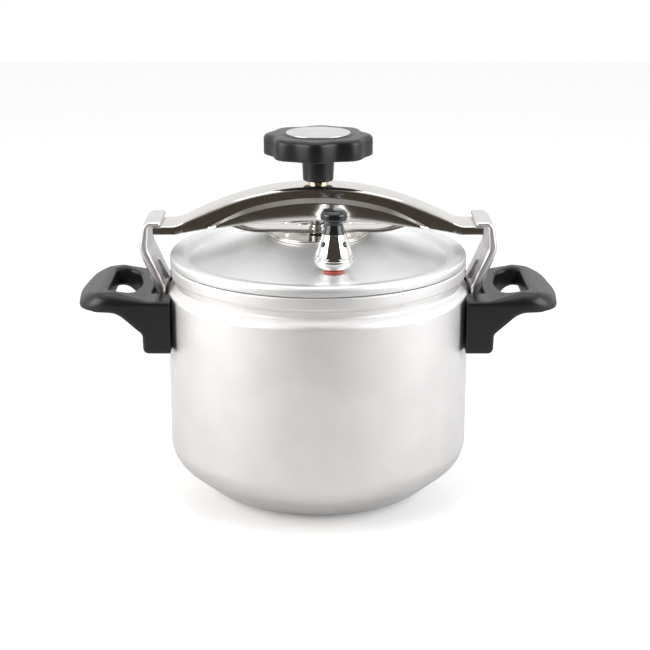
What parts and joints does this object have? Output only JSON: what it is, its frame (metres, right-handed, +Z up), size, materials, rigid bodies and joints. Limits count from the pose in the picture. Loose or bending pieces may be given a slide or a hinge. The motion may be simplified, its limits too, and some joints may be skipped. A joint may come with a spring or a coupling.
{
  "type": "stovetop pressure cooker",
  "caption": "Aluminium stovetop pressure cooker: bridge bar and screw knob clamp the lid, two loop handles, weight valve and safety valve.",
  "frame": {"origin": "centre of the pot's flat base", "axes": "+Z up, handles along X, weight valve towards -Y"},
  "size_m": [0.3492, 0.22, 0.265],
  "materials": {
    "aluminium": "satin, spun",
    "bracket_steel": "satin pressed sheet",
    "bakelite": "moulded, soft sheen",
    "polished_steel": "mirror polished",
    "chrome": "bright",
    "valve_plastic": "gloss",
    "gasket_rubber": "matt",
    "red_silicone": "satin",
    "brass": "machined",
    "steel": "machined",
    "disc_metal": "brushed"
  },
  "bodies": {
    "pot": {"pot_body": "aluminium", "left_lug": "bracket_steel", "right_lug": "bracket_steel", "left_lug_rivets": "bracket_steel", "right_lug_rivets": "bracket_steel", "left_handle": "bakelite", "right_handle": "bakelite", "left_handle_screw": "steel", "right_handle_screw": "steel"},
    "lid_unit": {"lid": "aluminium", "lid_gasket": "gasket_rubber", "pressure_cup": "polished_steel", "vent_pipe": "steel", "vent_pipe_nut": "steel", "vent_seal": "red_silicone", "safety_body": "steel", "safety_nut": "steel", "safety_seal": "red_silicone", "safety_spring": "steel"},
    "weight": {"weight_body": "chrome", "weight_cap": "valve_plastic", "weight_needle": "steel"},
    "poppet": {"safety_poppet": "brass"},
    "bridge": {"bridge_bar": "polished_steel", "bar_bush": "brass", "bar_bush_nut": "brass", "leaf_spring": "polished_steel"},
    "screw_foot": {"pressure_foot": "steel"},
    "screw": {"spindle": "steel", "knob": "bakelite", "knob_disc": "disc_metal", "knob_screw": "steel"}
  },
  "joints": [
    {"name": "lid_lift", "type": "slide", "parent": "pot", "child": "lid_unit", "axis": [0, 0, 1], "range_m": [0, 0.072]},
    {"name": "weight_lift", "type": "slide", "parent": "lid_unit", "child": "weight", "axis": [0, 0, 1], "range_m": [0, 0.04]},
    {"name": "safety_pop", "type": "slide", "parent": "lid_unit", "child": "poppet", "axis": [0, 0, 1], "range_m": [0, 0.0025], "stiffness_N_per_m": 600, "springref_m": -0.004, "deforming": ["safety_spring"]},
    {"name": "bar_swing", "type": "hinge", "parent": "lid_unit", "child": "bridge", "pos_m": [0, 0, 0.2], "axis": [0, 0, 1], "range_deg": [-48, 64]},
    {"name": "screw_travel", "type": "slide", "parent": "bridge", "child": "screw_foot", "axis": [0, 0, 1], "range_m": [0, 0.0091]},
    {"name": "knob_turn", "type": "hinge", "parent": "screw_foot", "child": "screw", "pos_m": [0, 0, 0.2], "axis": [0, 0, 1], "range_deg": [0, 1080]}
  ],
  "couplings": [
    {"joint": "screw_travel", "follows": "knob_turn", "m_per_rad": 0.00047746}
  ]
}
